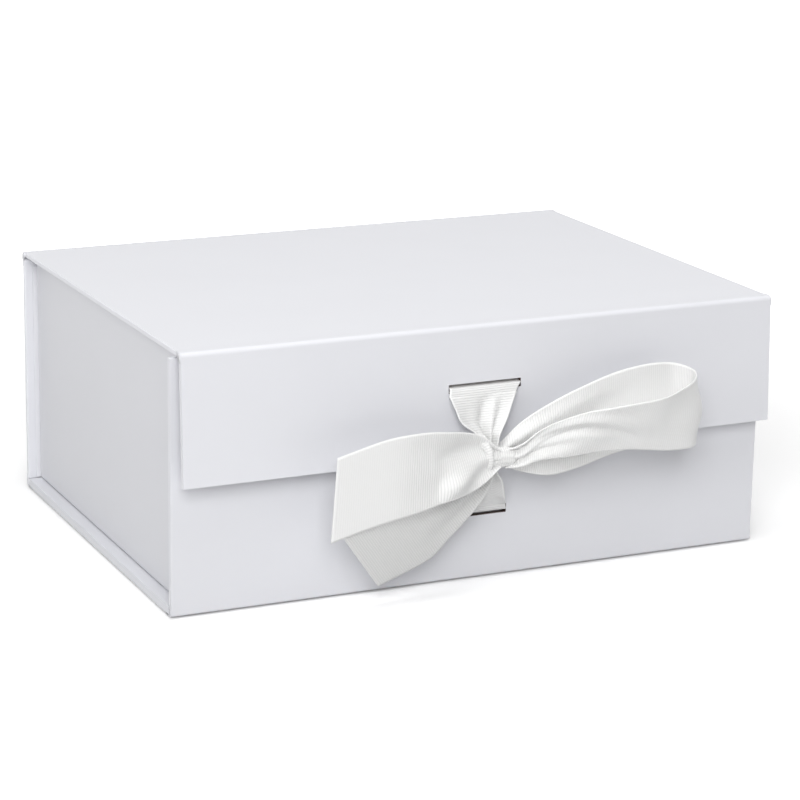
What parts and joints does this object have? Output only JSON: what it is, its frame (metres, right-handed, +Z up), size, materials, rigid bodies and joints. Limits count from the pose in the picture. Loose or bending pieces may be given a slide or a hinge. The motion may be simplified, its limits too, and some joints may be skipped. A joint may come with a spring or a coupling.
{
  "type": "collapsible gift box",
  "caption": "Collapsible rigid gift box of paper-wrapped board with a hinged lid, a front flap, side walls that fold inwards and a ribbon bow tied through two slots.",
  "frame": {"origin": "the middle of the base's underside, on the surface the box stands on", "axes": "+X to the right along the front, +Y from the front to the back, +Z up"},
  "size_m": [0.2219, 0.1991, 0.09],
  "materials": {
    "white_wrap": "satin",
    "inner_paper": "matte",
    "tab_card": "matte",
    "adhesive_tape": "satin",
    "magnet": "satin",
    "ribbon": "satin"
  },
  "bodies": {
    "case": {"base_panel": "white_wrap", "back_panel": "white_wrap", "front_panel": "white_wrap", "base_front_crease": "white_wrap", "base_rear_crease": "white_wrap", "lid_rear_crease": "white_wrap", "floor_card": "inner_paper", "front_wall_liner": "inner_paper", "back_wall_liner": "inner_paper", "front_magnet_left": "magnet", "front_magnet_right": "magnet", "wall_ribbon": "ribbon"},
    "lid": {"lid_panel": "white_wrap", "lid_liner": "inner_paper", "lid_front_crease": "white_wrap"},
    "flap": {"flap_panel": "white_wrap", "flap_liner": "inner_paper", "flap_magnet_left": "magnet", "flap_magnet_right": "magnet", "flap_ribbon": "ribbon", "bow_knot": "ribbon", "bow_loop": "ribbon", "bow_front_tail": "ribbon", "bow_rear_tail": "ribbon"},
    "left_wall": {"left_side_wall": "white_wrap"},
    "right_wall": {"right_side_wall": "white_wrap"},
    "left_front_tab": {"left_front_corner_tab": "tab_card", "left_front_adhesive": "adhesive_tape"},
    "left_rear_tab": {"left_rear_corner_tab": "tab_card", "left_rear_adhesive": "adhesive_tape"},
    "right_front_tab": {"right_front_corner_tab": "tab_card", "right_front_adhesive": "adhesive_tape"},
    "right_rear_tab": {"right_rear_corner_tab": "tab_card", "right_rear_adhesive": "adhesive_tape"}
  },
  "joints": [
    {"name": "lid_hinge", "type": "hinge", "parent": "case", "child": "lid", "pos_m": [0, 0.0798, 0.09], "axis": [-0.9999, -0.0113, 0], "range_deg": [0, 180]},
    {"name": "flap_hinge", "type": "hinge", "parent": "lid", "child": "flap", "pos_m": [0.00185, -0.08299, 0.09], "axis": [-0.9999, -0.0113, 0], "range_deg": [0, 180]},
    {"name": "left_wall_fold", "type": "hinge", "parent": "case", "child": "left_wall", "pos_m": [-0.1035, 0, 0.0055], "axis": [0, 1, 0], "range_deg": [0, 90]},
    {"name": "right_wall_fold", "type": "hinge", "parent": "case", "child": "right_wall", "pos_m": [0.1035, 0, 0.0055], "axis": [0, -1, 0], "range_deg": [0, 90]},
    {"name": "left_front_tab_fold", "type": "hinge", "parent": "left_wall", "child": "left_front_tab", "pos_m": [-0.1035, -0.0748, 0.045], "axis": [0, 0, 1], "range_deg": [0, 90]},
    {"name": "left_rear_tab_fold", "type": "hinge", "parent": "left_wall", "child": "left_rear_tab", "pos_m": [-0.1035, 0.0748, 0.045], "axis": [0, 0, -1], "range_deg": [0, 90]},
    {"name": "right_front_tab_fold", "type": "hinge", "parent": "right_wall", "child": "right_front_tab", "pos_m": [0.1035, -0.0748, 0.045], "axis": [0, 0, -1], "range_deg": [0, 90]},
    {"name": "right_rear_tab_fold", "type": "hinge", "parent": "right_wall", "child": "right_rear_tab", "pos_m": [0.1035, 0.0748, 0.045], "axis": [0, 0, 1], "range_deg": [0, 90]}
  ],
  "couplings": [
    {"joint": "left_front_tab_fold", "follows": "left_wall_fold", "ratio": 1},
    {"joint": "left_rear_tab_fold", "follows": "left_wall_fold", "ratio": 1},
    {"joint": "right_front_tab_fold", "follows": "right_wall_fold", "ratio": 1},
    {"joint": "right_rear_tab_fold", "follows": "right_wall_fold", "ratio": 1}
  ]
}
